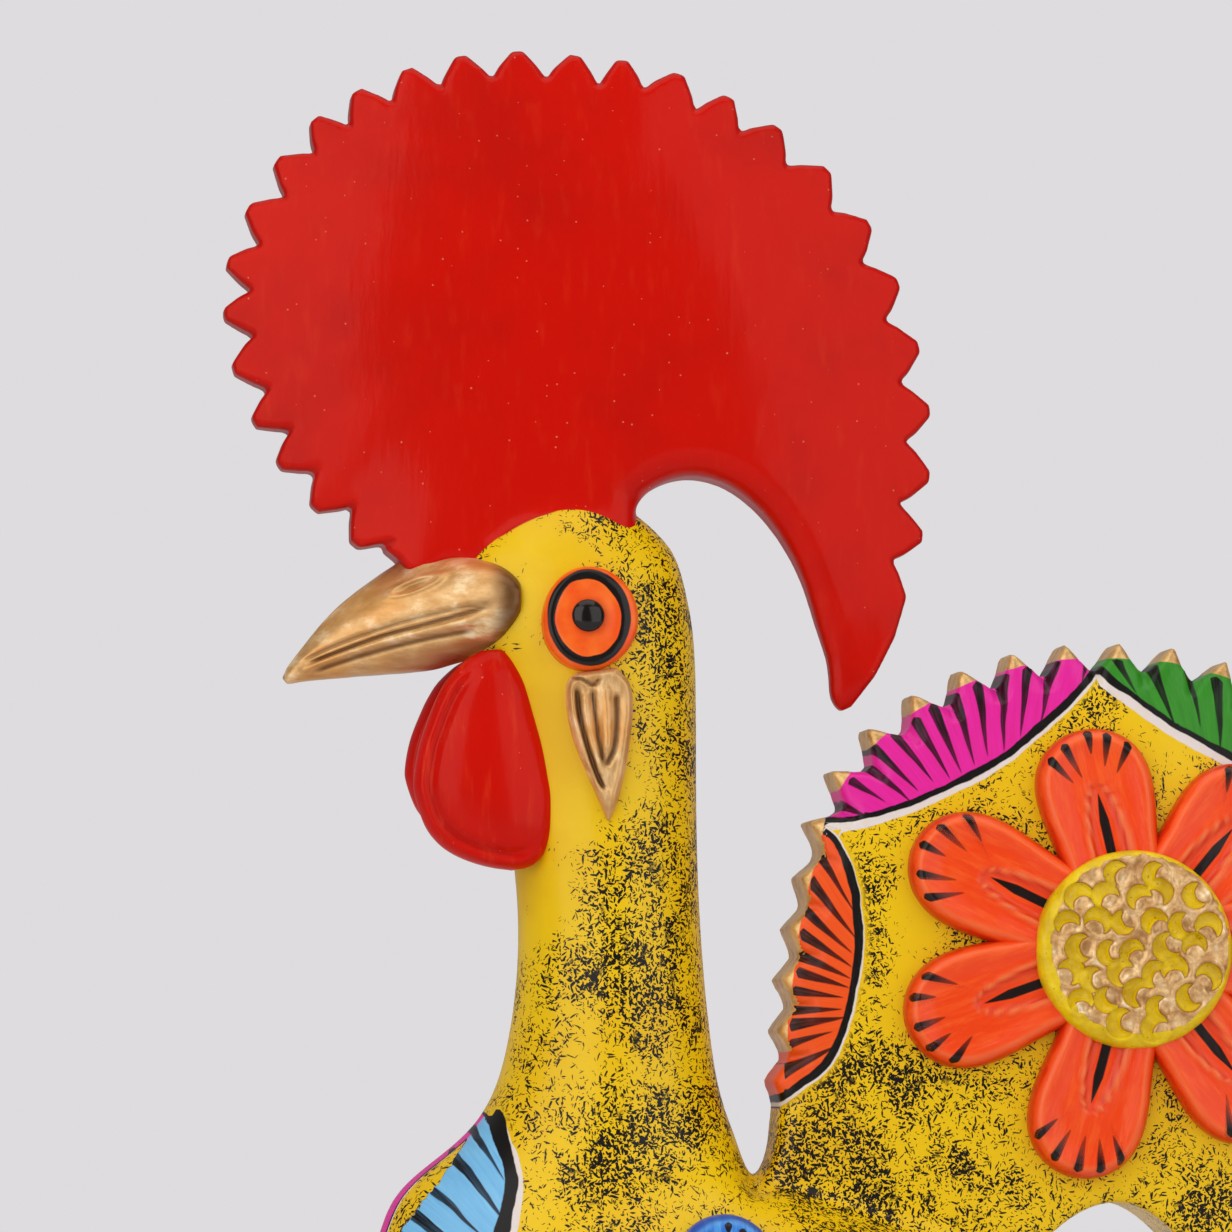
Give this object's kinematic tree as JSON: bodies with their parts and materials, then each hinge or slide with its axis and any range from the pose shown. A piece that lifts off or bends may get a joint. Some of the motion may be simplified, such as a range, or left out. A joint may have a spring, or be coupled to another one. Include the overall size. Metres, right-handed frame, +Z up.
{
  "type": "rooster of barcelos",
  "caption": "Standing painted earthenware cockerel ornament with a serrated disc comb, scalloped fan tail, applied relief flowers and a bell pedestal on a round plinth.",
  "frame": {"origin": "on the floor, at the centre of the plinth's underside", "axes": "+Z up, the bird looks along -X, its left side is -Y"},
  "size_m": [0.3107, 0.15, 0.5624],
  "materials": {
    "yellow_body": "hand painted yellow with black speckle under gloss varnish",
    "yellow_tail": "hand painted yellow with coloured fans under gloss varnish",
    "red_comb": "deep red gloss lacquer",
    "red_wattle": "deep red gloss lacquer",
    "gold_beak": "brushed metallic gold paint",
    "gold_earlobe": "brushed metallic gold paint",
    "orange_eye": "orange gloss paint with black ring",
    "black_pupil": "black gloss paint",
    "orange_petal": "orange-red gloss paint with black strokes",
    "blue_petal": "blue gloss paint with dark strokes",
    "gilt_disc": "yellow paint with gold on the stamped relief",
    "speckled_pedestal": "hand painted yellow with black speckle under gloss varnish",
    "dark_plinth": "black gloss paint with coloured strokes",
    "gold_foot": "brushed metallic gold paint"
  },
  "bodies": {
    "root": {"beak": "gold_beak", "body_left": "yellow_body", "body_right": "yellow_body", "comb_left": "red_comb", "comb_right": "red_comb", "earlobe_left": "gold_earlobe", "earlobe_right": "gold_earlobe", "eye_left": "orange_eye", "eye_right": "orange_eye", "flank_flower_centre_left": "gilt_disc", "flank_flower_centre_right": "gilt_disc", "flank_petal_1_left": "blue_petal", "flank_petal_1_right": "blue_petal", "flank_petal_2_left": "blue_petal", "flank_petal_2_right": "blue_petal", "flank_petal_3_left": "blue_petal", "flank_petal_3_right": "blue_petal", "flank_petal_4_left": "blue_petal", "flank_petal_4_right": "blue_petal", "flank_petal_5_left": "blue_petal", "flank_petal_5_right": "blue_petal", "flank_petal_6_left": "blue_petal", "flank_petal_6_right": "blue_petal", "flank_petal_7_left": "blue_petal", "flank_petal_7_right": "blue_petal", "foot_left": "gold_foot", "foot_right": "gold_foot", "pedestal": "speckled_pedestal", "plinth": "dark_plinth", "pupil_left": "black_pupil", "pupil_right": "black_pupil", "tail_flower_centre_left": "gilt_disc", "tail_flower_centre_right": "gilt_disc", "tail_left": "yellow_tail", "tail_petal_1_left": "orange_petal", "tail_petal_1_right": "orange_petal", "tail_petal_2_left": "orange_petal", "tail_petal_2_right": "orange_petal", "tail_petal_3_left": "orange_petal", "tail_petal_3_right": "orange_petal", "tail_petal_4_left": "orange_petal", "tail_petal_4_right": "orange_petal", "tail_petal_5_left": "orange_petal", "tail_petal_5_right": "orange_petal", "tail_petal_6_left": "orange_petal", "tail_petal_6_right": "orange_petal", "tail_petal_7_left": "orange_petal", "tail_petal_7_right": "orange_petal", "tail_right": "yellow_tail", "wattle_left": "red_wattle", "wattle_right": "red_wattle"}
  },
  "joints": []
}
